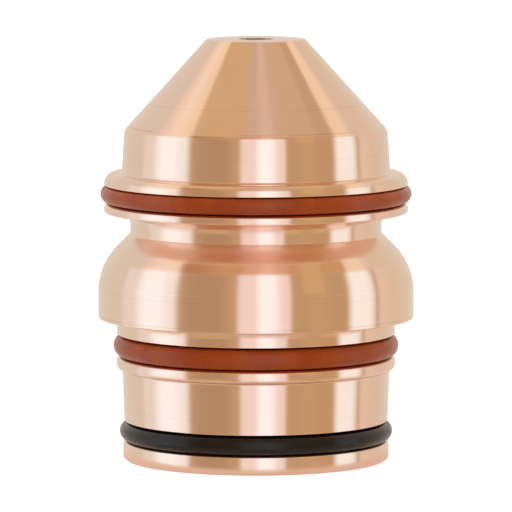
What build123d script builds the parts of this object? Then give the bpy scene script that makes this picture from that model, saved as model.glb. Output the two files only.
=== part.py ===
from build123d import *
import os
from dataclasses import dataclass
from math import radians, tan

# Plasma torch nozzle: one turned copper body that carries three O-rings.
# Millimetres. The base face lies on Z = 0, the axis of turning is Z, and the orifice points up.
# The bulge has the largest diameter. A cut, rise, taper or overhang is a step in radius from the
# surface before it. Lengths follow each other from the base to the tip.

# Rear end: the base land, the barrel, and the land and collar on each side of the middle O-ring
BASE_LAND_RISE = 0.10
BASE_LAND_LENGTH = 1.70
BARREL_CUT = 0.58
BARREL_TAPER = 0.16
BARREL_LENGTH = 4.90
MIDDLE_LAND_RISE = 0.05
MIDDLE_LAND_LENGTH = 1.25
COLLAR_CUT = 1.78
COLLAR_LENGTH = 1.58

# Bulge: a straight band that turns through a dome into a flank, down to the neck
BULGE_DIA = 30.14
BULGE_BAND_LENGTH = 2.59
DOME_RADIUS = 5.94
FLANK_ANGLE = 45.0
NECK_CUT = 3.07
NECK_LENGTH = 2.00

# Flange: two lips with the front O-ring between them; the front lip ends in nearly a quarter round
FLANGE_OVERHANG = 2.50
REAR_LIP_LENGTH = 0.91
FRONT_LIP_STRAIGHT = 0.17
FLANGE_ROUNDING = 0.98

# Nose: a slow taper that centres the shield, then the cone to the flat tip
SEAT_CUT = 1.69
SEAT_TAPER = 0.25
SEAT_LENGTH = 4.05
SHOULDER_RADIUS = 1.30
CONE_HALF_ANGLE = 42.1
TIP_DIA = 9.44

# Inside: the pocket for the swirl ring, the plenum, the funnel and the orifice
REAR_WALL = 1.775
POCKET_RISE = 0.30
MOUTH_CHAMFER = 0.50
PLENUM_STEP = 3.50
PLENUM_ROUNDING = 1.50
FUNNEL_HALF_ANGLE = 60.0
ORIFICE_DIA = 2.24
ORIFICE_LENGTH = 3.89
COUNTERSINK_DEPTH = 0.53

# Breaks and fillets that the turning tool leaves; the neck runs into the flange with a larger one
EDGE_BREAK = 0.12
BASE_BREAK = 0.25
COLLAR_BREAK = 0.22
CORNER_FILLET = 0.20
NECK_FILLET = 1.20

# How much of each O-ring's oval is pressed flat against the floor of its gland
RING_FLAT = 0.04


@dataclass(frozen=True)
class Corner:
    """A corner of the turned outline, with the arc or the chamfer that finishes it."""

    radius: float
    height: float
    rounding: float = 0.0
    chamfer: float = 0.0


@dataclass(frozen=True)
class Seal:
    """An O-ring as it lies, stretched, in its gland."""

    node: str
    width: float  # along the axis
    height: float  # from the floor of the gland to the ring's crown
    proud: float  # how far the crown stands out of the land
    side_gap: float  # between the ring and each wall of its gland
    land_radius: float  # the land that the gland is turned into
    low: float  # height of the gland's lower wall

    @property
    def high(self):
        """Height of the gland's upper wall."""
        return self.low + self.width + 2 * self.side_gap

    @property
    def floor_radius(self):
        """Radius of the gland's floor."""
        return self.land_radius + self.proud - self.height


# Radii of the outside, each from the one that it is cut from
bulge_radius = BULGE_DIA / 2
collar_radius = bulge_radius - COLLAR_CUT
middle_land_radius = collar_radius + MIDDLE_LAND_RISE
barrel_front_radius = middle_land_radius - BARREL_CUT
barrel_rear_radius = barrel_front_radius - BARREL_TAPER
base_land_radius = barrel_rear_radius + BASE_LAND_RISE
neck_radius = bulge_radius - NECK_CUT
flange_radius = neck_radius + FLANGE_OVERHANG
seat_rear_radius = flange_radius - SEAT_CUT
seat_front_radius = seat_rear_radius - SEAT_TAPER
tip_radius = TIP_DIA / 2

# Heights of the steps, from the base up, with the glands between them
rear_seal = Seal(
    node="rear_o_ring",
    width=1.80,
    height=1.76,
    proud=0.335,
    side_gap=0.125,
    land_radius=base_land_radius,
    low=BASE_LAND_LENGTH,
)
barrel_top = rear_seal.high + BARREL_LENGTH
middle_seal = Seal(
    node="middle_o_ring",
    width=1.95,
    height=1.60,
    proud=0.29,
    side_gap=0.075,
    land_radius=middle_land_radius,
    low=barrel_top + MIDDLE_LAND_LENGTH,
)
collar_top = middle_seal.high + COLLAR_LENGTH
# The dome's arc touches the band below it and the flank above it: this is where those two would meet
dome_corner = collar_top + BULGE_BAND_LENGTH + DOME_RADIUS * tan(radians(FLANK_ANGLE / 2))
flank_top = dome_corner + NECK_CUT / tan(radians(FLANK_ANGLE))
neck_top = flank_top + NECK_LENGTH
front_seal = Seal(
    node="front_o_ring",
    width=1.58,
    height=1.36,
    proud=0.34,
    side_gap=0.07,
    land_radius=flange_radius,
    low=neck_top + REAR_LIP_LENGTH,
)
flange_top = front_seal.high + FRONT_LIP_STRAIGHT + FLANGE_ROUNDING
shoulder = flange_top + SEAT_LENGTH
tip = shoulder + (seat_front_radius - tip_radius) / tan(radians(CONE_HALF_ANGLE))

# Radii and heights of the hollow: the pocket follows the rear wall and the neck, the rest the tip
pocket_radius = rear_seal.floor_radius - REAR_WALL
pocket_top = neck_top + POCKET_RISE
plenum_radius = pocket_radius - PLENUM_STEP
orifice_radius = ORIFICE_DIA / 2
throat = tip - ORIFICE_LENGTH
plenum_top = throat - (plenum_radius - orifice_radius) / tan(radians(FUNNEL_HALF_ANGLE))


def gland_corners(seal):
    """The two corners of a gland's floor."""
    return [
        Corner(seal.floor_radius, seal.low, chamfer=CORNER_FILLET),
        Corner(seal.floor_radius, seal.high, chamfer=CORNER_FILLET),
    ]


def rear_corners():
    """Outside of the rear end, from the base to the top of the collar."""
    return [
        Corner(base_land_radius, 0, chamfer=BASE_BREAK),
        Corner(base_land_radius, rear_seal.low, chamfer=EDGE_BREAK),
        *gland_corners(rear_seal),
        Corner(barrel_rear_radius, rear_seal.high, chamfer=EDGE_BREAK),
        Corner(barrel_front_radius, barrel_top, rounding=CORNER_FILLET),
        Corner(middle_land_radius, barrel_top, chamfer=EDGE_BREAK),
        Corner(middle_land_radius, middle_seal.low, chamfer=EDGE_BREAK),
        *gland_corners(middle_seal),
        Corner(collar_radius, middle_seal.high, chamfer=COLLAR_BREAK),
        Corner(collar_radius, collar_top, rounding=CORNER_FILLET),
    ]


def bulge_corners():
    """The domed bulge and the neck above it."""
    return [
        Corner(bulge_radius, collar_top, chamfer=EDGE_BREAK),
        Corner(bulge_radius, dome_corner, rounding=DOME_RADIUS),
        Corner(neck_radius, flank_top, rounding=CORNER_FILLET),
        Corner(neck_radius, neck_top, rounding=NECK_FILLET),
    ]


def nose_corners():
    """The flange, the tapered seat and the cone, up to the tip."""
    return [
        Corner(flange_radius, neck_top, chamfer=EDGE_BREAK),
        Corner(flange_radius, front_seal.low, chamfer=EDGE_BREAK),
        *gland_corners(front_seal),
        Corner(flange_radius, front_seal.high, chamfer=EDGE_BREAK),
        Corner(flange_radius, flange_top, rounding=FLANGE_ROUNDING),
        Corner(seat_rear_radius, flange_top, rounding=CORNER_FILLET),
        Corner(seat_front_radius, shoulder, rounding=SHOULDER_RADIUS),
        Corner(tip_radius, tip, chamfer=EDGE_BREAK),
    ]


def hollow_corners():
    """The stepped hollow, from the countersink in the tip down to the mouth in the base."""
    return [
        Corner(orifice_radius, tip, chamfer=COUNTERSINK_DEPTH),
        Corner(orifice_radius, throat),
        Corner(plenum_radius, plenum_top, rounding=PLENUM_ROUNDING),
        Corner(plenum_radius, pocket_top, chamfer=EDGE_BREAK),
        Corner(pocket_radius, pocket_top, rounding=CORNER_FILLET),
        Corner(pocket_radius, 0, chamfer=MOUTH_CHAMFER),
    ]


def half_section(corners):
    """The outline through the corners as a face: X is the radius, and Y the height."""
    points = [(corner.radius, corner.height) for corner in corners]
    roundings = [corner.rounding for corner in corners]
    outline = FilletPolyline(*points, radius=roundings, close=True)
    section = Face(Wire(outline.edges()))
    for corner in corners:
        if corner.chamfer > 0:
            nearest = section.vertices().sort_by_distance((corner.radius, corner.height))[0]
            section = section.chamfer_2d(corner.chamfer, corner.chamfer, [nearest])
    return section


def turned_body():
    """The copper body: its half section, turned about the axis."""
    corners = rear_corners() + bulge_corners() + nose_corners() + hollow_corners()
    return revolve(Plane.XZ * half_section(corners), axis=Axis.Z)


def seal_ring(seal):
    """An O-ring: an oval, cut flat where it bears on the floor of its gland, turned about the axis."""
    oval_radius = (seal.height + RING_FLAT) / 2
    crown = seal.floor_radius + seal.height
    centre = Pos(crown - oval_radius, (seal.low + seal.high) / 2)
    oval = centre * Ellipse(oval_radius, seal.width / 2)
    outside_the_floor = Pos(seal.floor_radius, seal.low) * Rectangle(
        2 * seal.height, seal.high - seal.low, align=(Align.MIN, Align.MIN)
    )
    return revolve(Plane.XZ * (oval & outside_the_floor), axis=Axis.Z)


os.makedirs("parts", exist_ok=True)
export_step(turned_body(), "parts/nozzle_body.step")
for seal in (rear_seal, middle_seal, front_seal):
    export_step(seal_ring(seal), f"parts/{seal.node}.step")
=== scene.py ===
import logging
import math
from dataclasses import dataclass
from enum import Enum

import bpy
import numpy as np
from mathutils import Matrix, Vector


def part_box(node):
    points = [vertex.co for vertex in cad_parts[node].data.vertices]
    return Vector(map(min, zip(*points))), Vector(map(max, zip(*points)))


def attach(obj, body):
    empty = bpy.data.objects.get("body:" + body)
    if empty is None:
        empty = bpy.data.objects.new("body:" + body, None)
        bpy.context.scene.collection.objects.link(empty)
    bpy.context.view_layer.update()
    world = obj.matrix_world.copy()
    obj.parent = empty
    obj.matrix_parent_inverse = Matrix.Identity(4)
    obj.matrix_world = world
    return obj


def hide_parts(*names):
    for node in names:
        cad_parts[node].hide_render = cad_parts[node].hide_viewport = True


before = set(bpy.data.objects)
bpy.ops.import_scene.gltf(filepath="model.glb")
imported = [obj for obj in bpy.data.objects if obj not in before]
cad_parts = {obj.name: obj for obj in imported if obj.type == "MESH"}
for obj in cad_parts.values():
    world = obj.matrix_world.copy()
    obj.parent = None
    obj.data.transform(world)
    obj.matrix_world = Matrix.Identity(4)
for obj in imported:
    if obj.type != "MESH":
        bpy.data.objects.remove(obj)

# Plasma torch nozzle: a turned copper body and the three O-rings in its glands.
# Metres, with +Z along the axis of turning and the base face on Z = 0.
# Azimuths are in degrees from the camera's side of the axis, and grow towards the picture's right.

MM = 0.001
RECESS = "recess"  # attribute: 1 where the copper is rougher, under the steps and below the neck
PAINTED_SHADE = "painted_shade"  # attribute: above 0 in the orifice and its countersink, which are darkened with painted shade, the shade inside the hole

Colour = tuple[float, float, float]
Socket = bpy.types.NodeSocket
NumberOrSocket = float | Socket
ColourOrSocket = Colour | Socket

log = logging.getLogger("nozzle")


class NodeGraph:
    """Adds nodes to a node tree and joins them, for materials and for the studio's light."""

    # Places of the colours among the Mix node's inputs, and of the mixed one among its outputs
    MIX_FIRST = 6
    MIX_SECOND = 7
    MIX_RESULT = 2

    def __init__(self, tree: bpy.types.NodeTree) -> None:
        """Takes over a node tree.

        Args:
            tree: The tree that the nodes are added to.
        """
        self.tree = tree

    def node(self, kind: str, **inputs: object) -> bpy.types.Node:
        """Adds a node and sets or joins its inputs.

        Args:
            kind: The node's type, without the ShaderNode in front.
            inputs: Values or sockets by input name, with _ for a space.

        Returns:
            The new node.
        """
        node = self.tree.nodes.new("ShaderNode" + kind)
        for name, value in inputs.items():
            self.put(node.inputs[name.replace("_", " ")], value)
        return node

    def put(self, socket: Socket, value: object) -> None:
        """Joins a socket to another one, or sets it to a number or a colour.

        Args:
            socket: The input socket.
            value: An output socket, a number, or a tuple of three.
        """
        if isinstance(value, Socket):
            self.tree.links.new(value, socket)
        elif isinstance(value, tuple) and len(value) < len(socket.default_value):
            socket.default_value = (*value, 1.0)
        else:
            socket.default_value = value

    def math(self, operation: str, *numbers: NumberOrSocket) -> Socket:
        """Calculates with one to three numbers.

        Args:
            operation: The Math node's operation.
            numbers: As many numbers or sockets as the operation takes.

        Returns:
            The socket with the result.
        """
        node = self.node("Math")
        node.operation = operation
        for socket, number in zip(node.inputs, numbers):
            self.put(socket, number)
        return node.outputs[0]

    def smooth_step(
        self, value: NumberOrSocket, low: float, high: float, start: float = 0.0, end: float = 1.0
    ) -> Socket:
        """Turns a number smoothly from one value into another.

        Args:
            value: The number that is read.
            low: Where the turn starts.
            high: Where the turn ends.
            start: The result at low and below.
            end: The result at high and above.

        Returns:
            The socket with the result.
        """
        node = self.node("MapRange")
        node.interpolation_type = "SMOOTHSTEP"
        for index, part in enumerate((value, low, high, start, end)):
            self.put(node.inputs[index], part)
        return node.outputs[0]

    def mix(self, share: NumberOrSocket, first: ColourOrSocket, second: ColourOrSocket) -> Socket:
        """Mixes two colours.

        Args:
            share: How much of the second colour shows.
            first: The colour at a share of 0.
            second: The colour at a share of 1.

        Returns:
            The socket with the mixed colour.
        """
        node = self.node("Mix")
        node.data_type = "RGBA"
        self.put(node.inputs["Factor"], share)
        self.put(node.inputs[self.MIX_FIRST], first)
        self.put(node.inputs[self.MIX_SECOND], second)
        return node.outputs[self.MIX_RESULT]

    def between(
        self, value: NumberOrSocket, low: float, low_soft: float, high: float, high_soft: float
    ) -> Socket:
        """Tests whether a number lies between two soft edges.

        Args:
            value: The number.
            low: The lower edge.
            low_soft: How far the lower edge fades to both sides.
            high: The upper edge.
            high_soft: How far the upper edge fades to both sides.

        Returns:
            The socket with the result, from 0 outside to 1 inside.
        """
        above = self.smooth_step(value, low - low_soft, low + low_soft)
        below = self.smooth_step(value, high - high_soft, high + high_soft, start=1.0, end=0.0)
        return self.math("MULTIPLY", above, below)

    def noise(self, vector: Socket, scale: float, detail: float, roughness: float = 0.5) -> Socket:
        """Adds three-dimensional noise.

        Args:
            vector: Where the noise is read.
            scale: How many features there are in one unit of the vector.
            detail: How many finer octaves are added.
            roughness: How strong the finer octaves are.

        Returns:
            The socket with the noise, around a half.
        """
        node = self.node("TexNoise", Vector=vector, Scale=scale, Detail=detail, Roughness=roughness)
        return node.outputs[0]

    def attribute(self, name: str) -> Socket:
        """Adds a reader for a number that the mesh stores.

        Args:
            name: Name of the mesh's attribute.

        Returns:
            The socket with the number.
        """
        node = self.node("Attribute")
        node.attribute_name = name
        return node.outputs["Fac"]

    def add_shaders(self, first: Socket, second: Socket) -> Socket:
        """Adds the light of two shaders.

        Args:
            first: Output of a shader.
            second: Output of another shader.

        Returns:
            The socket with both.
        """
        node = self.node("AddShader")
        self.put(node.inputs[0], first)
        self.put(node.inputs[1], second)
        return node.outputs[0]


def new_material(name: str) -> tuple[bpy.types.Material, NodeGraph, bpy.types.Node]:
    """Makes a material with nodes.

    Args:
        name: Name of the material.

    Returns:
        The material, its graph and its principled shader.
    """
    material = bpy.data.materials.new(name)
    material.use_nodes = True
    return material, NodeGraph(material.node_tree), material.node_tree.nodes["Principled BSDF"]


@dataclass(frozen=True)
class Score:
    """A fine line that runs part of the way round the copper: a darker line, or a painted highlight
    of whiter copper where its shade is the bright one.
    """

    height: float
    width: float  # of its full middle; it fades out over half of that on each side
    strength: float  # how much of the shade shows there
    shade: Colour = (0.45, 0.26, 0.17)


# Whiter copper for the scores that are painted highlights, glints along fine scratches
PAINTED_GLINT = (1.0, 0.88, 0.78)
SCORES = (
    Score(13.95 * MM, 0.05 * MM, 0.26),
    Score(14.30 * MM, 0.04 * MM, 0.25, PAINTED_GLINT),
    Score(16.40 * MM, 0.03 * MM, 0.13),
    Score(17.05 * MM, 0.03 * MM, 0.50, PAINTED_GLINT),
    Score(5.10 * MM, 0.03 * MM, 0.13),
    Score(7.20 * MM, 0.03 * MM, 0.20, PAINTED_GLINT),
    Score(29.60 * MM, 0.03 * MM, 0.13),
    Score(31.95 * MM, 0.07 * MM, 0.26),
    Score(33.30 * MM, 0.03 * MM, 0.30, PAINTED_GLINT),
    Score(34.10 * MM, 0.04 * MM, 0.17),
    Score(35.50 * MM, 0.03 * MM, 0.40, PAINTED_GLINT),
    Score(37.80 * MM, 0.03 * MM, 0.13),
)


@dataclass(frozen=True)
class CopperFinish:
    """Bright copper as the turning tool leaves it, with fine rings around the axis.

    The scales of the tool's marks count features in a millimetre along the outline, and the
    other scales count features in a metre.
    """

    slot: str = "copper"
    colour: Colour = (0.925, 0.697, 0.582)
    pink: Colour = (0.922, 0.675, 0.575)
    tone_scale: float = 95.0
    tone_range: tuple[float, float] = (0.35, 0.70)
    # painted shade: the darkness inside the orifice, put into the copper's colour
    painted_shade: Colour = (0.30, 0.22, 0.18)
    break_scale: float = 130.0  # of the gaps in a score
    break_range: tuple[float, float] = (0.46, 0.54)
    roughness: float = 0.115
    roughness_swing: float = 0.05
    recess_roughness: float = 0.20
    stretch: float = 0.50  # 0 to 1: how much further a highlight spreads along the axis
    quarter_turn: float = 0.25  # the tangent runs round the axis, and the stretch across it
    marks_around: float = 45.0  # marks in a metre around the axis, against 1000 along the outline
    broad_scale: float = 1.1
    broad_share: float = 2.5  # depth of the broad marks, in terms of the fine ones
    fine_scale: float = 6.0
    groove_depth: float = 1.1e-6
    chatter_scale: float = 420.0
    chatter_depth: float = 1.3e-6

    def material(self, outline_length: float) -> bpy.types.Material:
        """Makes the copper.

        Args:
            outline_length: Length of the turned outline, which the UV map's second axis runs along.

        Returns:
            The finished material.
        """
        material, graph, shader = new_material("turned_copper")
        coordinates = graph.node("TexCoord")
        place = coordinates.outputs["Object"]
        x, y, height = graph.node("SeparateXYZ", Vector=place).outputs
        along = graph.node("SeparateXYZ", Vector=coordinates.outputs["UV"]).outputs[1]
        # Long around the axis and short along the outline, as the marks of a tool are
        marks = graph.node(
            "CombineXYZ",
            X=graph.math("MULTIPLY", x, self.marks_around),
            Y=graph.math("MULTIPLY", y, self.marks_around),
            Z=graph.math("MULTIPLY", along, outline_length / MM),
        ).outputs[0]
        fine = graph.noise(marks, self.fine_scale, detail=4.0, roughness=0.7)
        tone = graph.noise(place, self.tone_scale, detail=3.0)

        colour = graph.mix(graph.smooth_step(tone, *self.tone_range), self.colour, self.pink)
        colour = self.scored(graph, colour, place, height)
        # Painted shade in the orifice and its countersink
        colour = graph.mix(graph.attribute(PAINTED_SHADE), colour, self.painted_shade)
        graph.put(shader.inputs["Base Color"], colour)
        shader.inputs["Metallic"].default_value = 1.0
        graph.put(shader.inputs["Roughness"], self.rough(graph, fine, tone))
        shader.inputs["Anisotropic"].default_value = self.stretch
        shader.inputs["Anisotropic Rotation"].default_value = self.quarter_turn
        tangent = graph.node("Tangent")
        tangent.direction_type = "RADIAL"
        tangent.axis = "Z"
        graph.put(shader.inputs["Tangent"], tangent.outputs[0])
        graph.put(shader.inputs["Normal"], self.grooved(graph, marks, fine, place))
        return material

    def scored(self, graph: NodeGraph, colour: Socket, place: Socket, height: Socket) -> Socket:
        """Draws the scores over the copper's colour, the bright ones as painted highlights.

        Args:
            graph: The material's graph.
            colour: The copper's colour.
            place: Object coordinates.
            height: Their Z.

        Returns:
            The socket with the scored colour.
        """
        for score in SCORES:
            # A scale of its own for each score, so that no two have their gaps alike
            breaks = graph.noise(place, self.break_scale + score.height / MM, detail=1.0)
            offset = graph.math("ABSOLUTE", graph.math("SUBTRACT", height, score.height))
            line = graph.smooth_step(
                offset, score.width / 2, score.width, start=score.strength, end=0.0
            )
            shown = graph.smooth_step(breaks, *self.break_range)
            colour = graph.mix(graph.math("MULTIPLY", line, shown), colour, score.shade)
        return colour

    def rough(self, graph: NodeGraph, fine: Socket, tone: Socket) -> Socket:
        """Works out the roughness, which varies a little and is higher in the recesses.

        Args:
            graph: The material's graph.
            fine: Noise of the fine marks.
            tone: Noise of the colour.

        Returns:
            The socket with the roughness.
        """
        recess = graph.attribute(RECESS)
        level = graph.smooth_step(recess, 0.0, 1.0, self.roughness, self.recess_roughness)
        # Two noises, each around a half, so that their sum less 1 lies around 0
        swing = graph.math("SUBTRACT", graph.math("ADD", fine, tone), 1.0)
        return graph.math("MULTIPLY_ADD", swing, self.roughness_swing, level)

    def grooved(self, graph: NodeGraph, marks: Socket, fine: Socket, place: Socket) -> Socket:
        """Works out the normal, with the tool's grooves and its chatter.

        Args:
            graph: The material's graph.
            marks: Coordinates of the tool's marks.
            fine: Noise of the fine marks.
            place: Object coordinates.

        Returns:
            The socket with the normal.
        """
        broad = graph.noise(marks, self.broad_scale, detail=3.0, roughness=0.6)
        grooves = graph.node(
            "Bump",
            Strength=1.0,
            Distance=self.groove_depth,
            Height=graph.math("ADD", fine, graph.math("MULTIPLY", broad, self.broad_share)),
        )
        chatter = graph.node(
            "Bump",
            Strength=1.0,
            Distance=self.chatter_depth,
            Height=graph.noise(place, self.chatter_scale, detail=2.0),
            Normal=grooves.outputs[0],
        )
        return chatter.outputs[0]


class Rubber(Enum):
    """The two rubbers of the O-rings, by the name of the material slot."""

    RED = "red_silicone"
    BLACK = "black_rubber"


@dataclass(frozen=True)
class RubberFinish:
    """A moulded rubber, a little uneven in colour, with fine dust on it.

    The scales count features in a metre.
    """

    rubber: Rubber
    colour: Colour
    shade: Colour
    dust: Colour
    dust_share: float  # of the specks that show
    roughness: float
    smoothest: float = -0.05  # change of roughness where the film on the rubber is thinnest
    roughest: float = 0.08  # and where it is thickest
    refraction: float = 1.38
    mottle_scale: float = 380.0
    mottle_range: tuple[float, float] = (0.35, 0.65)
    film_scale: float = 900.0
    film_range: tuple[float, float] = (0.30, 0.70)
    speck_scale: float = 1500.0
    speck_range: tuple[float, float] = (0.05, 0.16)  # from a speck's middle to its edge
    grain_scale: float = 9000.0
    grain_depth: float = 3.0e-6

    def material(self) -> bpy.types.Material:
        """Makes the rubber.

        Returns:
            The finished material.
        """
        material, graph, shader = new_material(self.rubber.value)
        place = graph.node("TexCoord").outputs["Object"]
        mottle = graph.noise(place, self.mottle_scale, detail=3.0)
        body = graph.mix(graph.smooth_step(mottle, *self.mottle_range), self.colour, self.shade)
        dusty = graph.mix(self.dusted(graph, place), body, self.dust)
        graph.put(shader.inputs["Base Color"], dusty)
        film = graph.noise(place, self.film_scale, detail=2.0)
        smooth = self.roughness + self.smoothest
        rough = self.roughness + self.roughest
        uneven = graph.smooth_step(film, *self.film_range, smooth, rough)
        graph.put(shader.inputs["Roughness"], uneven)
        shader.inputs["IOR"].default_value = self.refraction
        grain = graph.noise(place, self.grain_scale, detail=2.0)
        bump = graph.node("Bump", Strength=1.0, Distance=self.grain_depth, Height=grain)
        graph.put(shader.inputs["Normal"], bump.outputs[0])
        return material

    def dusted(self, graph: NodeGraph, place: Socket) -> Socket:
        """Works out where a speck of dust lies.

        Args:
            graph: The material's graph.
            place: Object coordinates.

        Returns:
            The socket with the share of dust.
        """
        specks = graph.node("TexVoronoi", Vector=place, Scale=self.speck_scale, Randomness=1.0)
        near = specks.outputs["Distance"]
        speck = graph.smooth_step(near, *self.speck_range, start=1.0, end=0.0)
        # Each speck's cell has a random colour, whose red picks the few that show
        chosen = graph.node("SeparateColor", Color=specks.outputs["Color"]).outputs[0]
        return graph.math("MULTIPLY", speck, graph.math("LESS_THAN", chosen, self.dust_share))


@dataclass(frozen=True)
class Corner:
    """A corner of a turned outline, with the arc or the chamfer that finishes it."""

    radius: float
    height: float
    rounding: float = 0.0
    chamfer: float = 0.0


class Outline:
    """A closed outline in the half plane of radius and height, with its outward normals."""

    SHARP = 0.025 * MM  # the least arc at any corner, so that every edge catches the light
    STRAIGHT_STEP = 1.2 * MM
    ARC_STEP = math.radians(7.0)
    SMALL_ARC = 0.3 * MM  # arcs up to this radius take the coarser step
    SMALL_ARC_STEP = math.radians(18.0)
    FEWEST_ARC_STEPS = 3
    OVAL_STEPS = 44

    def __init__(self, points: np.ndarray, normals: np.ndarray) -> None:
        """Measures the outline.

        Args:
            points: Radius and height of each point, with the material on the left of the way
                round.
            normals: The outward unit normal at each point.
        """
        self.points = points
        self.normals = normals
        steps = np.linalg.norm(np.roll(points, -1, axis=0) - points, axis=1)
        self.length = float(steps.sum())
        self.along = np.concatenate(([0.0], np.cumsum(steps)))

    @classmethod
    def through(cls, corners: list[Corner]) -> "Outline":
        """Joins corners by straights and arcs.

        Args:
            corners: The corners in order, with the material on the left of the way round.

        Returns:
            The outline.
        """
        return cls(*cls.trace(*cls.cut_chamfers(corners)))

    @classmethod
    def oval(cls, crown: float, low: float, high: float, floor: float, flat: float) -> "Outline":
        """Draws the section of an O-ring: an oval, pressed flat where it lies on a floor.

        Args:
            crown: The largest radius.
            low: The lowest height.
            high: The highest height.
            floor: Radius of the floor.
            flat: How far the oval would reach past the floor.

        Returns:
            The outline.
        """
        angles = np.linspace(0.0, 2 * math.pi, cls.OVAL_STEPS, endpoint=False)
        half_height = (crown - floor + flat) / 2
        half_width = (high - low) / 2
        radii = crown - half_height * (1 - np.cos(angles))
        heights = (low + high) / 2 + half_width * np.sin(angles)
        normals = np.column_stack((np.cos(angles) / half_height, np.sin(angles) / half_width))
        return cls(
            np.column_stack((np.maximum(radii, floor), heights)),
            normals / np.linalg.norm(normals, axis=1, keepdims=True),
        )

    @staticmethod
    def towards(spots: np.ndarray, others: np.ndarray) -> np.ndarray:
        """Returns the unit vectors from spots to others."""
        way = others - spots
        return way / np.linalg.norm(way, axis=1, keepdims=True)

    @classmethod
    def cut_chamfers(cls, corners: list[Corner]) -> tuple[np.ndarray, np.ndarray]:
        """Puts two corners in place of each one that is chamfered.

        Args:
            corners: The corners as designed.

        Returns:
            The places of the corners, and the radius of the arc at each.
        """
        spots = np.array([(corner.radius, corner.height) for corner in corners])
        back = cls.towards(spots, np.roll(spots, 1, axis=0))
        ahead = cls.towards(spots, np.roll(spots, -1, axis=0))
        cut_spots = []
        roundings = []
        for corner, spot, to_last, to_next in zip(corners, spots, back, ahead):
            if corner.chamfer > 0:
                cut_spots += [spot + to_last * corner.chamfer, spot + to_next * corner.chamfer]
                roundings += [cls.SHARP, cls.SHARP]
            else:
                cut_spots.append(spot)
                roundings.append(max(corner.rounding, cls.SHARP))
        return np.array(cut_spots), np.array(roundings)

    @classmethod
    def trace(cls, spots: np.ndarray, roundings: np.ndarray) -> tuple[np.ndarray, np.ndarray]:
        """Turns the corners into arcs and joins the arcs by straights.

        An arc of radius r at a corner whose sides open by twice h touches each side at r / tan(h)
        from the corner, and its centre is r / sin(h) from the corner along the line between them.

        Args:
            spots: The corners.
            roundings: The radius of the arc at each corner.

        Returns:
            The points of the outline and the outward unit normal at each.
        """
        back = cls.towards(spots, np.roll(spots, 1, axis=0))
        ahead = cls.towards(spots, np.roll(spots, -1, axis=0))
        half = np.arccos(np.clip((back * ahead).sum(axis=1), -1.0, 1.0)) / 2
        middle = cls.towards(np.zeros_like(spots), back + ahead)
        centres = spots + middle * (roundings / np.sin(half))[:, None]
        reach = (roundings / np.tan(half))[:, None]
        entry = spots + back * reach - centres
        leave = spots + ahead * reach - centres
        first = np.arctan2(entry[:, 1], entry[:, 0])
        turn = np.arctan2(
            entry[:, 0] * leave[:, 1] - entry[:, 1] * leave[:, 0], (entry * leave).sum(axis=1)
        )
        # Where the outline turns right the corner is hollow, and its normals point at the centre
        side = np.sign(turn)
        points = []
        normals = []
        for index in range(len(spots)):
            step = cls.SMALL_ARC_STEP if roundings[index] <= cls.SMALL_ARC else cls.ARC_STEP
            count = max(cls.FEWEST_ARC_STEPS, math.ceil(abs(turn[index]) / step))
            angles = first[index] + np.linspace(0.0, turn[index], count + 1)
            spokes = np.column_stack((np.cos(angles), np.sin(angles)))
            points.append(centres[index] + spokes * roundings[index])
            normals.append(spokes * side[index])
            following = (index + 1) % len(spots)
            start = points[-1][-1]
            end = centres[following] + entry[following]
            pieces = math.ceil(np.linalg.norm(end - start) / cls.STRAIGHT_STEP)
            shares = np.linspace(0.0, 1.0, pieces + 1)[1:-1, None]
            points.append(start + (end - start) * shares)
            normals.append(np.repeat(normals[-1][-1:], len(shares), axis=0))
        return np.concatenate(points), np.concatenate(normals)


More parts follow.
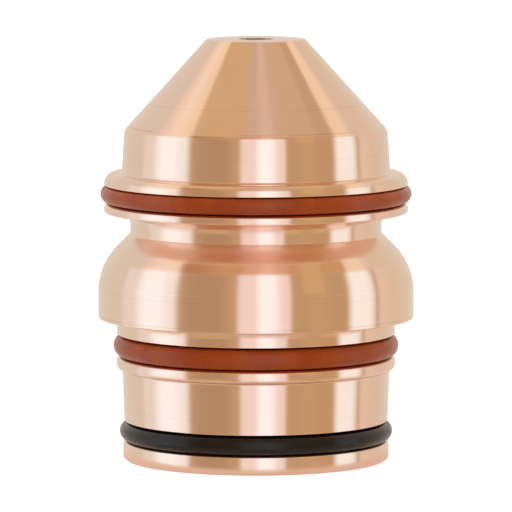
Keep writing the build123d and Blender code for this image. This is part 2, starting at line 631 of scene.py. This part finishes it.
class TurnedSurface:
    """A closed surface made by turning an outline about the Z axis."""

    COLUMNS = 256  # of faces, round the surface

    def __init__(self, name: str, outline: Outline) -> None:
        """Makes the surface's object.

        Args:
            name: Name of the piece.
            outline: The closed outline.
        """
        self.outline = outline
        rows = len(outline.points)
        columns = self.COLUMNS
        row, column = np.meshgrid(np.arange(rows), np.arange(columns), indexing="ij")
        next_row = (row + 1) % rows
        next_column = (column + 1) % columns
        corners = ((row, column), (row, next_column), (next_row, next_column), (next_row, column))
        quads = np.stack([line * columns + spot for line, spot in corners], axis=-1).reshape(-1, 4)
        angles = np.linspace(0.0, 2 * math.pi, columns, endpoint=False)
        self.mesh = bpy.data.meshes.new(name)
        self.fill_mesh(self.turned(outline.points, angles), quads)
        self.map_uv(row, column)
        self.mesh.normals_split_custom_set_from_vertices(self.turned(outline.normals, angles))
        self.piece = bpy.data.objects.new(name, self.mesh)
        bpy.context.scene.collection.objects.link(self.piece)

    @staticmethod
    def turned(half: np.ndarray, angles: np.ndarray) -> np.ndarray:
        """Carries points or normals of the half plane round the axis.

        A point at radius r and height h goes to (r cos a, r sin a, h) at each angle a.

        Args:
            half: Radius and height, one row for each point of the outline.
            angles: The angles.

        Returns:
            An array of rows of X, Y and Z, outline point by outline point.
        """
        x = half[:, 0:1] * np.cos(angles)
        y = half[:, 0:1] * np.sin(angles)
        z = np.broadcast_to(half[:, 1:2], x.shape)
        return np.stack((x, y, z), axis=-1).reshape(-1, 3)

    def fill_mesh(self, points: np.ndarray, quads: np.ndarray) -> None:
        """Puts the points and the faces into the mesh.

        Args:
            points: The vertices.
            quads: Four vertices of each face, counterclockwise from outside.
        """
        mesh = self.mesh
        mesh.vertices.add(len(points))
        mesh.vertices.foreach_set("co", points.ravel())
        mesh.loops.add(quads.size)
        mesh.loops.foreach_set("vertex_index", quads.ravel().astype(np.int32))
        mesh.polygons.add(len(quads))
        mesh.polygons.foreach_set("loop_start", np.arange(0, quads.size, 4, dtype=np.int32))
        mesh.polygons.foreach_set("use_smooth", np.ones(len(quads), dtype=bool))
        mesh.update()
        mesh.validate()

    def map_uv(self, row: np.ndarray, column: np.ndarray) -> None:
        """Lays the UV map: the first axis runs round the part and the second along the outline.

        Args:
            row: Row of each face.
            column: Column of each face.
        """
        along = self.outline.along / self.outline.length
        u = np.stack((column, column + 1, column + 1, column), axis=-1) / self.COLUMNS
        v = np.stack((along[row], along[row], along[row + 1], along[row + 1]), axis=-1)
        layer = self.mesh.uv_layers.new(name="turning")
        layer.data.foreach_set("uv", np.stack((u, v), axis=-1).astype(np.float32).ravel())

    def store(self, name: str, shares: np.ndarray) -> None:
        """Stores a number for each point of the outline, all round the surface.

        Args:
            name: Name of the mesh's attribute.
            shares: The numbers, from 0 to 1.
        """
        attribute = self.mesh.attributes.new(name, "FLOAT", "POINT")
        attribute.data.foreach_set("value", np.repeat(shares, self.COLUMNS).astype(np.float32))


@dataclass
class SealRing:
    """An O-ring as it lies, stretched, in its gland."""

    node: str
    height: float  # from the floor of the gland to the ring's crown
    proud: float  # how far the crown stands out of the land
    high_gap: float  # between the ring and the upper wall of its gland
    low_gap: float  # between the ring and the lower wall of its gland, on which it lies
    flat: float = 0.04 * MM  # how much of its oval is pressed flat on the floor of the gland

    def __post_init__(self) -> None:
        """Reads the ring's place from the frame."""
        low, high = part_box(self.node)
        self.low = low.z
        self.high = high.z
        self.crown = high.x

    @property
    def land(self) -> float:
        """Radius of the land that the gland is turned into."""
        return self.crown - self.proud

    @property
    def floor(self) -> float:
        """Radius of the gland's floor."""
        return self.crown - self.height

    @property
    def gland_low(self) -> float:
        """Height of the gland's lower wall."""
        return self.low - self.low_gap

    @property
    def gland_high(self) -> float:
        """Height of the gland's upper wall."""
        return self.high + self.high_gap

    def build(self) -> None:
        """Makes the ring's surface."""
        section = Outline.oval(self.crown, self.low, self.high, self.floor, self.flat)
        self.surface = TurnedSurface(self.node + "_moulded", section)

    def dress(self, finish: RubberFinish) -> None:
        """Gives the ring its rubber, hangs it under the root and hides the node that it stands in
        for.

        Args:
            finish: The rubber.
        """
        piece = self.surface.piece
        piece.data.materials.append(finish.material())
        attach(piece, "root")
        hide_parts(self.node)
        log.info("%s: %d faces", piece.name, len(piece.data.polygons))


def ramp(values: np.ndarray, low: float, high: float) -> np.ndarray:
    """Returns 0 where values are low or less, 1 where they are high or more, and evenly between."""
    return np.clip((values - low) / (high - low), 0.0, 1.0)


@dataclass
class NozzleBody:
    """The copper body, turned in one piece from the base to the tip."""

    rear: SealRing
    middle: SealRing
    front: SealRing

    # Rear end
    barrel_cut: float = 0.58 * MM
    barrel_taper: float = 0.16 * MM
    middle_land_length: float = 1.25 * MM
    collar_step: float = 0.05 * MM
    collar_length: float = 1.505 * MM
    collar_flare: float = 0.35 * MM  # how far the collar flares out below the bulge
    flare_length: float = 0.45 * MM

    # Bulge and neck
    band_length: float = 2.59 * MM
    dome_radius: float = 5.94 * MM
    flank_angle: float = math.radians(45.0)
    neck_cut: float = 3.07 * MM

    # Flange and nose
    rear_lip_length: float = 0.91 * MM
    front_lip_straight: float = 0.12 * MM
    flange_rounding: float = 1.03 * MM
    seat_cut: float = 1.69 * MM
    seat_taper: float = 0.25 * MM
    seat_length: float = 4.05 * MM
    shoulder_radius: float = 1.30 * MM
    tip_radius: float = 4.72 * MM

    # Inside
    rear_wall: float = 1.775 * MM
    pocket_rise: float = 0.30 * MM
    mouth_chamfer: float = 0.50 * MM
    plenum_step: float = 3.50 * MM
    plenum_rounding: float = 1.50 * MM
    funnel_half_angle: float = math.radians(60.0)
    orifice_radius: float = 1.12 * MM
    orifice_length: float = 3.89 * MM
    countersink: float = 0.53 * MM

    # Edges and fillets
    sharp_rounding: float = 0.09 * MM  # edges that face down, and the tip's
    worn_rounding: float = 0.50 * MM  # edges that face up, where the rings and their bores rub
    base_rounding: float = 0.34 * MM  # the same edge on the base land, which is less worn
    inner_break: float = 0.12 * MM
    base_break: float = 0.25 * MM
    fillet: float = 0.20 * MM
    collar_fillet: float = 0.95 * MM
    flank_fillet: float = 0.40 * MM
    neck_fillet: float = 1.20 * MM

    # How far a normal leans down, or up, where a mark starts and where it is full
    UNDERSIDE = (0.50, 0.90)
    FLANK = (0.64, 0.70)
    WALL = 1.0 * MM  # the outside lies further than this from the pocket
    # how strong the painted shade in the orifice is
    PAINTED_SHADE_SHARE = 0.75

    def __post_init__(self) -> None:
        """Reads the overall sizes from the frame, and works out what several corners share."""
        low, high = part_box("nozzle_body")
        self.tip = high.z
        self.bulge = min(-low.x, high.x, -low.y, high.y)
        self.collar_top = self.middle.gland_high + self.collar_length
        self.neck_top = self.front.gland_low - self.rear_lip_length
        self.pocket = self.rear.floor - self.rear_wall

    def gland(self, ring: SealRing) -> list[Corner]:
        """Returns the two corners of the floor of a ring's gland."""
        return [
            Corner(ring.floor, ring.gland_low, chamfer=self.fillet),
            Corner(ring.floor, ring.gland_high, chamfer=self.fillet),
        ]

    def rear_corners(self) -> list[Corner]:
        """Returns the outside of the rear end, from the base to the top of the collar."""
        rear, middle = self.rear, self.middle
        barrel_top = middle.gland_low - self.middle_land_length
        barrel_front = middle.land - self.barrel_cut
        barrel_rear = barrel_front - self.barrel_taper
        collar = middle.land - self.collar_step
        flare_low = self.collar_top - self.flare_length
        return [
            Corner(rear.land, 0.0, chamfer=self.base_break),
            Corner(rear.land, rear.gland_low, rounding=self.base_rounding),
            *self.gland(rear),
            Corner(barrel_rear, rear.gland_high, rounding=self.sharp_rounding),
            Corner(barrel_front, barrel_top, rounding=self.fillet),
            Corner(middle.land, barrel_top, rounding=self.worn_rounding),
            Corner(middle.land, middle.gland_low, rounding=self.worn_rounding),
            *self.gland(middle),
            Corner(collar, middle.gland_high, rounding=self.sharp_rounding),
            Corner(collar, flare_low, rounding=self.collar_fillet),
            Corner(collar + self.collar_flare, self.collar_top, rounding=self.fillet),
        ]

    def bulge_corners(self) -> list[Corner]:
        """Returns the domed bulge, the neck above it and the flange's underside."""
        dome_reach = self.dome_radius * math.tan(self.flank_angle / 2)
        dome_corner = self.collar_top + self.band_length + dome_reach
        neck = self.bulge - self.neck_cut
        flank_top = dome_corner + self.neck_cut / math.tan(self.flank_angle)
        return [
            Corner(self.bulge, self.collar_top, rounding=self.fillet),
            Corner(self.bulge, dome_corner, rounding=self.dome_radius),
            Corner(neck, flank_top, rounding=self.flank_fillet),
            Corner(neck, self.neck_top, rounding=self.neck_fillet),
            Corner(self.front.land, self.neck_top, rounding=self.fillet),
        ]

    def nose_corners(self) -> list[Corner]:
        """Returns the flange, the tapered seat and the cone, up to the tip."""
        front = self.front
        flange_top = front.gland_high + self.front_lip_straight + self.flange_rounding
        seat_rear = front.land - self.seat_cut
        seat_front = seat_rear - self.seat_taper
        return [
            Corner(front.land, front.gland_low, rounding=self.worn_rounding),
            *self.gland(front),
            Corner(front.land, front.gland_high, rounding=self.sharp_rounding),
            Corner(front.land, flange_top, rounding=self.flange_rounding),
            Corner(seat_rear, flange_top, rounding=self.fillet),
            Corner(seat_front, flange_top + self.seat_length, rounding=self.shoulder_radius),
            Corner(self.tip_radius, self.tip, rounding=self.sharp_rounding),
        ]

    def hollow_corners(self) -> list[Corner]:
        """Returns the stepped hollow, from the countersink in the tip to the mouth in the base."""
        pocket_top = self.neck_top + self.pocket_rise
        plenum = self.pocket - self.plenum_step
        throat = self.tip - self.orifice_length
        funnel_depth = (plenum - self.orifice_radius) / math.tan(self.funnel_half_angle)
        return [
            Corner(self.orifice_radius, self.tip, chamfer=self.countersink),
            Corner(self.orifice_radius, throat),
            Corner(plenum, throat - funnel_depth, rounding=self.plenum_rounding),
            Corner(plenum, pocket_top, chamfer=self.inner_break),
            Corner(self.pocket, pocket_top, rounding=self.fillet),
            Corner(self.pocket, 0.0, chamfer=self.mouth_chamfer),
        ]

    def build(self) -> None:
        """Makes the body's surface."""
        corners = [
            *self.rear_corners(),
            *self.bulge_corners(),
            *self.nose_corners(),
            *self.hollow_corners(),
        ]
        section = Outline.through(corners)
        self.surface = TurnedSurface("nozzle_body_turned", section)
        self.mark_recesses(section)
        self.mark_painted_shade(section)

    def mark_recesses(self, section: Outline) -> None:
        """Marks what looks down above the rear gland, and the flank below the neck.

        Args:
            section: The body's outline.
        """
        radius, height = section.points.T
        rise = section.normals[:, 1]
        underside = ramp(-rise, *self.UNDERSIDE) * (height > self.rear.gland_high)
        below_flange = (height > self.middle.gland_high) & (height < self.front.gland_low)
        flank = ramp(rise, *self.FLANK) * below_flange * (radius > self.pocket + self.WALL)
        self.surface.store(RECESS, np.maximum(underside, flank))

    def mark_painted_shade(self, section: Outline) -> None:
        """Marks the orifice and its countersink, which get painted shade.

        Args:
            section: The body's outline.
        """
        radius, height = section.points.T
        near_axis = radius < self.orifice_radius + self.countersink
        orifice = near_axis & (height > self.tip - self.orifice_length)
        self.surface.store(PAINTED_SHADE, orifice * self.PAINTED_SHADE_SHARE)

    def dress(self, finish: CopperFinish) -> None:
        """Gives the body its copper, hangs it under the root and hides the node that it stands in
        for.

        Args:
            finish: The copper.
        """
        piece = self.surface.piece
        piece.data.materials.append(finish.material(self.surface.outline.length))
        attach(piece, "root")
        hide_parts("nozzle_body")
        log.info("%s: %d faces", piece.name, len(piece.data.polygons))


@dataclass(frozen=True)
class Panel:
    """A soft light or a board of the studio, placed by where the part mirrors it to the camera.

    The azimuth and the tilt are those of a surface that faces halfway between the panel and the
    camera, in degrees. So a panel with upright sides shows as an upright streak on a turned part.
    Each edge fades over its softness to both sides.
    """

    left: float
    right: float
    low: float
    high: float
    colour: Colour
    left_soft: float = 1.5
    right_soft: float = 1.5
    low_soft: float = 1.0
    high_soft: float = 1.0

    def share(self, graph: NodeGraph, facing: Socket, tilt: Socket) -> Socket:
        """Works out how much of the panel shows in each direction.

        Args:
            graph: The world's graph.
            facing: Azimuth of the surface that mirrors the direction, in degrees.
            tilt: Tilt of that surface above the horizon, in degrees.

        Returns:
            The socket with the share, from 0 to 1.
        """
        across = graph.between(facing, self.left, self.left_soft, self.right, self.right_soft)
        upright = graph.between(tilt, self.low, self.low_soft, self.high, self.high_soft)
        return graph.math("MULTIPLY", across, upright)


FLOOR = -90.0
SHELF = 29.6  # the lights end at this tilt, and a warm band of ceiling follows
COVE = 40.0  # the golden ceiling starts here, and ends at the loft
LOFT = 62.0

ROOM = (0.765, 0.735, 0.645)
BEHIND = (0.780, 0.665, 0.580)  # the wall behind the part, which its level faces mirror

# In order: left, right, low, high, colour, and how soft the left, right, low and high edges are.
# Each panel covers those before it.
PANELS = (
    # The wall on the right is warmer
    Panel(49.0, 70.0, FLOOR, LOFT, (0.765, 0.673, 0.545), 1.5, 12.0),
    # Gaps between the lights: the copper mirrors a brown and gold room there
    Panel(-32.0, -6.0, FLOOR, SHELF, (0.495, 0.352, 0.214), 3.0, 1.0),
    Panel(-32.0, -6.0, FLOOR, -8.0, (0.640, 0.470, 0.275), 3.0, 1.0, 1.0, 3.0),
    Panel(-11.5, -6.0, FLOOR, SHELF, (0.600, 0.420, 0.255), 3.0, 1.0),
    Panel(-36.0, -27.0, FLOOR, SHELF, (0.590, 0.440, 0.290), 2.0, 5.0),
    Panel(11.0, 37.5, FLOOR, SHELF, (0.575, 0.412, 0.240), 1.0, 1.5),
    Panel(11.0, 37.5, FLOOR, -8.0, (0.680, 0.500, 0.265), 1.0, 1.5, 1.0, 3.0),
    Panel(20.0, 27.0, FLOOR, SHELF, (0.615, 0.438, 0.250), 2.0, 2.0),
    # Ceiling: golden, with a pink middle and a darker right
    Panel(-34.0, 37.0, COVE, LOFT, (0.704, 0.527, 0.318), 2.5, 1.0, 1.2, 8.0),
    Panel(-5.0, 13.0, COVE, LOFT, (0.665, 0.535, 0.410), 2.0, 3.0, 1.2, 8.0),
    Panel(1.5, 7.5, COVE, LOFT, (0.740, 0.620, 0.510), 2.5, 3.0, 1.2, 8.0),
    Panel(13.0, 28.0, COVE, LOFT, (0.667, 0.534, 0.362), 3.0, 2.0, 1.2, 8.0),
    Panel(28.0, 37.0, COVE, LOFT, (0.600, 0.463, 0.304), 1.5, 1.0, 1.2, 8.0),
    # The warm band between the lights and the ceiling, darker on the left and pink in the middle
    Panel(-34.0, 37.0, SHELF, COVE, (0.652, 0.398, 0.205), 2.0, 1.5, 0.7, 1.2),
    Panel(-34.0, -18.0, SHELF, COVE, (0.506, 0.295, 0.153), 2.0, 7.0, 0.7, 1.2),
    Panel(-4.5, 12.0, SHELF, COVE, (0.760, 0.480, 0.330), 2.0, 2.0, 0.7, 1.2),
    Panel(2.0, 7.0, SHELF, COVE, (0.900, 0.610, 0.470), 2.0, 2.5, 0.7, 1.2),
    Panel(17.5, 26.0, 11.0, COVE, (0.680, 0.485, 0.255), 0.8, 1.5, 1.5, 1.2),
    # Left light, with a dimmer spill beside it and a warm glow above it
    Panel(-57.0, -30.0, FLOOR, SHELF, (0.880, 0.875, 0.865), 2.0, 2.0),
    Panel(-48.0, -30.5, SHELF, LOFT, (0.930, 0.800, 0.680), 3.0, 2.5, 1.0, 8.0),
    Panel(-43.0, -31.5, SHELF, LOFT, (1.000, 0.900, 0.770), 3.0, 2.0, 1.0, 8.0),
    Panel(-36.0, -30.5, COVE, LOFT, (0.980, 0.850, 0.590), 2.0, 2.0, 1.0, 8.0),
    Panel(-49.0, -31.0, FLOOR, 30.2, (1.020, 1.100, 1.120), 2.5, 2.0, 1.0, 1.8),
    Panel(-46.0, -36.0, FLOOR, 30.2, (1.100, 1.260, 1.370), 3.0, 3.0, 1.0, 1.8),
    # Front light: even, with a whiter middle
    Panel(-6.7, 12.8, FLOOR, SHELF, (0.960, 0.900, 0.885), 1.4, 1.0, 1.0, 0.7),
    Panel(0.7, 8.0, FLOOR, SHELF, (1.180, 1.290, 1.400), 1.8, 2.5, 1.0, 0.7),
    # Right light, with a thin dark edge and a warm glow above it
    Panel(48.8, 50.8, FLOOR, SHELF, (0.640, 0.510, 0.390), 0.5, 1.0),
    Panel(51.5, 58.0, FLOOR, SHELF, (0.830, 0.715, 0.580), 1.0, 4.0),
    Panel(37.2, 46.5, SHELF, LOFT, (0.960, 0.825, 0.610), 1.5, 2.0, 1.0, 8.0),
    Panel(35.9, 48.2, FLOOR, 29.0, (0.950, 0.960, 0.880), 1.6, 1.4, 1.0, 2.0),
    Panel(37.3, 46.5, FLOOR, 29.0, (1.030, 1.150, 1.180), 1.0, 1.5, 1.0, 2.0),
    # Below the lights their streaks turn warm, as the table does
    Panel(-50.0, -31.0, FLOOR, -24.0, (0.800, 0.620, 0.450), 2.5, 2.0, 1.0, 20.0),
    Panel(-6.7, 12.8, FLOOR, -24.0, (0.700, 0.500, 0.380), 1.4, 1.0, 1.0, 20.0),
    Panel(35.9, 48.2, FLOOR, -24.0, (0.780, 0.600, 0.450), 1.6, 1.4, 1.0, 20.0),
)


class Studio:
    """The plain studio: soft lights, a pale floor and the camera."""

    CAMERA_DISTANCE = 0.5668
    CAMERA_RISE = math.radians(5.72)
    CAMERA_TARGET = 0.02012  # height on the axis that the distance and the rise start from
    CAMERA_AIM = 0.01945  # height on the axis that the camera points at
    CAMERA_LENS = 417.3
    CAMERA_CLIP = (0.05, 20.0)
    SENSOR = 36.0
    WHITE = (1.0, 1.0, 1.0)
    BEHIND_RANGE = (0.955, 0.985)  # Y of the directions where the wall behind starts and is full
    FLOOR_HALF_SIDE = 2.5
    FLOOR_COLOUR = (0.80, 0.79, 0.78)
    NEAR_FLOOR = 0.0168  # the part mirrors the floor only as far as this from the axis
    SEEN_GLOW = 0.68  # of the floor, as the camera sees it
    SEEN_COLOUR = (0.97, 1.00, 1.15)
    MIRRORED_GLOW = 0.30  # of the floor, as the part mirrors it
    MIRRORED_COLOUR = (1.0, 0.82, 0.68)

    def add_camera(self) -> None:
        """Adds the camera at the photograph's angle."""
        camera = bpy.data.cameras.new("camera")
        camera.lens = self.CAMERA_LENS
        camera.sensor_width = self.SENSOR
        camera.clip_start, camera.clip_end = self.CAMERA_CLIP
        holder = bpy.data.objects.new("camera", camera)
        y = -self.CAMERA_DISTANCE * math.cos(self.CAMERA_RISE)
        z = self.CAMERA_TARGET + self.CAMERA_DISTANCE * math.sin(self.CAMERA_RISE)
        holder.location = (0.0, y, z)
        holder.rotation_euler = (math.pi / 2 - math.atan2(z - self.CAMERA_AIM, -y), 0.0, 0.0)
        bpy.context.scene.collection.objects.link(holder)
        bpy.context.scene.camera = holder

    def light(self) -> None:
        """Lights the studio: soft panels all round, which the copper mirrors.

        The camera itself sees plain white behind the part.
        """
        world = bpy.data.worlds.new("studio")
        bpy.context.scene.world = world
        world.use_nodes = True
        world.node_tree.nodes.clear()
        graph = NodeGraph(world.node_tree)
        direction = graph.node("TexCoord").outputs["Generated"]
        facing, tilt = self.mirror_angles(graph, direction)
        colour: ColourOrSocket = ROOM
        for panel in PANELS:
            colour = graph.mix(panel.share(graph, facing, tilt), colour, panel.colour)
        depth = graph.node("SeparateXYZ", Vector=direction).outputs[1]
        colour = graph.mix(graph.smooth_step(depth, *self.BEHIND_RANGE), colour, BEHIND)
        seen = graph.node("LightPath").outputs["Is Camera Ray"]
        lit = graph.node("Background", Color=graph.mix(seen, colour, self.WHITE))
        graph.node("OutputWorld", Surface=lit.outputs[0])

    def mirror_angles(self, graph: NodeGraph, direction: Socket) -> tuple[Socket, Socket]:
        """Works out how a surface faces that mirrors a direction to the camera.

        It faces halfway between the two, so its angles are those of the sum of their unit vectors.

        Args:
            graph: The world's graph.
            direction: The direction, as a unit vector.

        Returns:
            The surface's azimuth and its tilt above the horizon, in degrees.
        """
        to_camera = (0.0, -math.cos(self.CAMERA_RISE), math.sin(self.CAMERA_RISE))
        halfway = graph.node("VectorMath")
        graph.put(halfway.inputs[0], direction)
        graph.put(halfway.inputs[1], to_camera)
        unit = graph.node("VectorMath", Vector=halfway.outputs[0])
        unit.operation = "NORMALIZE"
        x, y, z = graph.node("SeparateXYZ", Vector=unit.outputs[0]).outputs
        azimuth = graph.math("ARCTAN2", x, graph.math("MULTIPLY", y, -1.0))
        return graph.math("DEGREES", azimuth), graph.math("DEGREES", graph.math("ARCSINE", z))

    def add_floor(self) -> None:
        """Adds the pale floor, which the part mirrors only close to its base."""
        half = self.FLOOR_HALF_SIDE
        corners = [(-half, -half, 0), (half, -half, 0), (half, half, 0), (-half, half, 0)]
        mesh = bpy.data.meshes.new("floor")
        mesh.from_pydata(corners, [], [(0, 1, 2, 3)])
        floor = bpy.data.objects.new("floor", mesh)
        bpy.context.scene.collection.objects.link(floor)
        mesh.materials.append(self.floor_material())

    def floor_material(self) -> bpy.types.Material:
        """Makes the floor's white, with one glow for the camera and a warmer one for reflections.

        The floor is clear from below, and clear to reflections that reach it further out.

        Returns:
            The finished material.
        """
        material = bpy.data.materials.new("floor_white")
        material.use_nodes = True
        material.node_tree.nodes.clear()
        graph = NodeGraph(material.node_tree)
        path = graph.node("LightPath").outputs
        matt = graph.node("BsdfDiffuse", Color=self.FLOOR_COLOUR)
        seen = graph.math("MULTIPLY", path["Is Camera Ray"], self.SEEN_GLOW)
        shine = graph.node("Emission", Color=self.SEEN_COLOUR, Strength=seen)
        mirrored = graph.math("MULTIPLY", path["Is Glossy Ray"], self.MIRRORED_GLOW)
        warmth = graph.node("Emission", Color=self.MIRRORED_COLOUR, Strength=mirrored)
        glows = graph.add_shaders(shine.outputs[0], warmth.outputs[0])
        white = graph.add_shaders(matt.outputs[0], glows)

        reach = graph.node("VectorMath", Vector=graph.node("TexCoord").outputs["Object"])
        reach.operation = "LENGTH"
        far = graph.math("GREATER_THAN", reach.outputs["Value"], self.NEAR_FLOOR)
        mirrored_far = graph.math("MULTIPLY", far, path["Is Glossy Ray"])
        from_below = graph.node("NewGeometry").outputs["Backfacing"]
        surface = graph.node("MixShader", Fac=graph.math("MAXIMUM", mirrored_far, from_below))
        graph.put(surface.inputs[1], white)
        graph.put(surface.inputs[2], graph.node("BsdfTransparent").outputs[0])
        graph.node("OutputMaterial", Surface=surface.outputs[0])
        return material

    def build(self) -> None:
        """Sets the studio up."""
        bpy.context.scene.view_settings.view_transform = "Standard"
        self.add_camera()
        self.light()
        self.add_floor()
        log.info("studio: %d panels", len(PANELS))


def main() -> None:
    """Builds the studio, the body and its O-rings, and notes how large they came out."""
    logging.basicConfig(level=logging.INFO, format="%(message)s")
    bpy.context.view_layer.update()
    Studio().build()

    red = RubberFinish(
        rubber=Rubber.RED,
        colour=(0.455, 0.078, 0.010),
        shade=(0.395, 0.062, 0.008),
        dust=(0.62, 0.34, 0.26),
        dust_share=0.012,
        roughness=0.25,
    )
    black = RubberFinish(
        rubber=Rubber.BLACK,
        colour=(0.013, 0.009, 0.007),
        shade=(0.009, 0.006, 0.005),
        dust=(0.16, 0.16, 0.14),
        dust_share=0.008,
        roughness=0.22,
    )
    rear = SealRing(
        node="rear_o_ring",
        height=1.76 * MM,
        proud=0.335 * MM,
        high_gap=0.125 * MM,
        low_gap=0.0,
    )
    middle = SealRing(
        node="middle_o_ring",
        height=1.60 * MM,
        proud=0.29 * MM,
        high_gap=0.15 * MM,
        low_gap=0.05 * MM,
    )
    front = SealRing(
        node="front_o_ring",
        height=1.36 * MM,
        proud=0.34 * MM,
        high_gap=0.07 * MM,
        low_gap=0.07 * MM,
    )
    body = NozzleBody(rear, middle, front)
    body.build()
    body.dress(CopperFinish())
    for ring, finish in ((rear, black), (middle, red), (front, red)):
        ring.build()
        ring.dress(finish)


if __name__ == "__main__":
    main()
